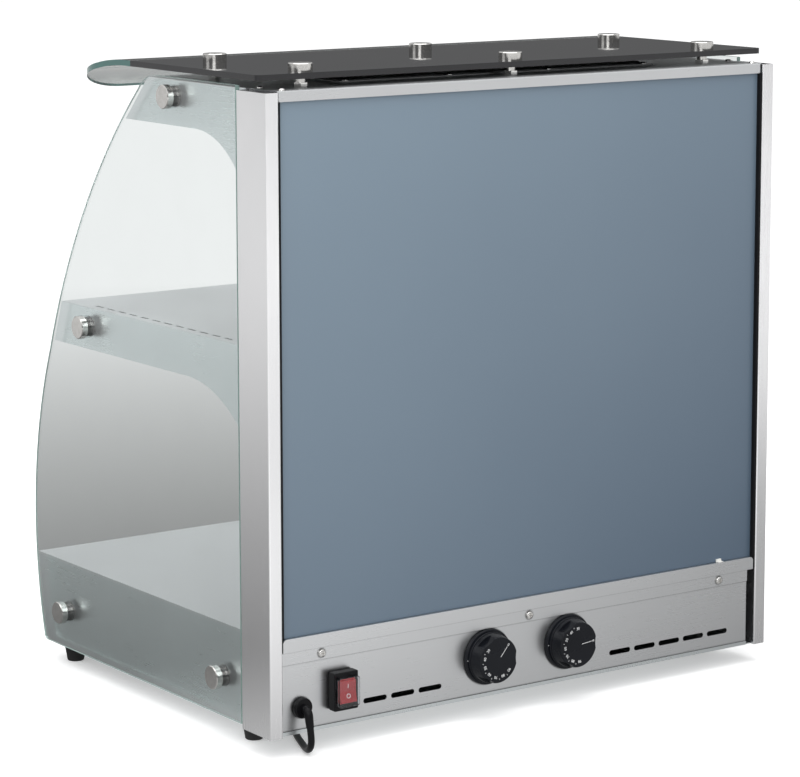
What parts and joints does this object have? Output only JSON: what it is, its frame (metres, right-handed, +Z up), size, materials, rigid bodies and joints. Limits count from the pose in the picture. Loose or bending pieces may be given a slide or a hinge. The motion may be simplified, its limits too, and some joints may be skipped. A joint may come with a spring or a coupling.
{
  "type": "heated food display case",
  "caption": "Countertop hot food display case with an open front, mirror back, side glasses, canopy glass, lit top, heated shelf and heated deck.",
  "frame": {"origin": "centre of the case's footprint box, on the surface it stands on, measured without the mains lead", "axes": "+Z up, front (open side) faces -Y, controls and mirror's back face +Y, +X is on the switch's side"},
  "size_m": [0.674, 0.6379, 0.698],
  "materials": {
    "base_steel": "fine brushed stainless steel",
    "deck_steel": "fine brushed stainless steel",
    "rear_steel": "satin stainless steel",
    "screw_steel": "polished steel",
    "cap_steel": "turned stainless steel",
    "element_steel": "heat-tinted steel",
    "mirror": "silvered glass, painted blue-grey on its back",
    "black_rubber": "matte black",
    "foot_rubber": "matte black",
    "cord_rubber": "semi-matte black",
    "plug_rubber": "semi-matte black",
    "black_plastic": "moulded black",
    "black_gloss": "moulded black with white marks",
    "clip_plastic": "off-white",
    "red_plastic": "translucent red with white marks",
    "clear_plastic": "clear soft plastic",
    "lens_plastic": "frosted white",
    "lamp_glass": "white lamp tube",
    "white_ceramic": "unglazed",
    "reflector": "bright",
    "clear_glass": "clear toughened glass with green edges",
    "canopy_glass": "glass printed black at the rear, clear at the front",
    "thermostat": "moulded",
    "brass_pins": "bright"
  },
  "bodies": {
    "case": {"base_shell": "base_steel", "deck_plate": "deck_steel", "control_panel": "rear_steel", "post_left": "rear_steel", "post_right": "rear_steel", "top_rail": "rear_steel", "lower_rail": "rear_steel", "lower_rail_screws": "screw_steel", "rear_mirror": "mirror", "mirror_gasket_left": "black_rubber", "mirror_gasket_right": "black_rubber", "mirror_clip": "clip_plastic", "shelf_top": "deck_steel", "shelf_pan": "deck_steel", "shelf_pan_screws": "screw_steel", "shelf_bracket_left": "rear_steel", "shelf_bracket_right": "rear_steel", "shelf_element": "element_steel", "deck_element": "element_steel", "top_bracket_left": "rear_steel", "top_bracket_right": "rear_steel", "top_fascia": "rear_steel", "top_plate": "rear_steel", "top_pan": "rear_steel", "access_cover": "rear_steel", "top_screws": "screw_steel", "lamp_lens": "lens_plastic", "lamp_tube": "lamp_glass", "lamp_holders": "white_ceramic", "lamp_reflector": "reflector", "side_glass_left": "clear_glass", "side_glass_right": "clear_glass", "glass_spacers_left": "black_rubber", "glass_spacers_right": "black_rubber", "glass_bolts_left": "screw_steel", "glass_bolts_right": "screw_steel", "glass_caps_left": "cap_steel", "glass_caps_right": "cap_steel", "canopy_glass": "canopy_glass", "canopy_nuts": "screw_steel", "canopy_spacers": "cap_steel", "canopy_bolts": "screw_steel", "canopy_caps": "cap_steel", "thermostat_left": "thermostat", "thermostat_right": "thermostat", "dial_bezels": "black_gloss", "switch_housing": "black_gloss", "switch_cover": "clear_plastic", "cable_gland": "black_plastic", "strain_relief": "black_plastic", "rubber_feet": "foot_rubber", "foot_screws": "screw_steel", "cord_tube": "cord_rubber", "cord_tail": "cord_rubber", "cord_coil": "cord_rubber", "plug_body": "plug_rubber", "plug_pins": "brass_pins"},
    "left_dial": {"knob_left": "black_gloss"},
    "right_dial": {"knob_right": "black_gloss"},
    "rocker": {"switch_rocker": "red_plastic"}
  },
  "joints": [
    {"name": "left_dial_turn", "type": "hinge", "parent": "case", "child": "left_dial", "pos_m": [0.055, 0.24175, 0.0647], "axis": [0, -1, 0], "range_deg": [-132, 148]},
    {"name": "right_dial_turn", "type": "hinge", "parent": "case", "child": "right_dial", "pos_m": [-0.052, 0.24175, 0.0647], "axis": [0, -1, 0], "range_deg": [-175, 105]},
    {"name": "rocker_tip", "type": "hinge", "parent": "case", "child": "rocker", "pos_m": [0.2423, 0.24325, 0.0605], "axis": [-1, 0, 0], "range_deg": [0, 10]}
  ]
}
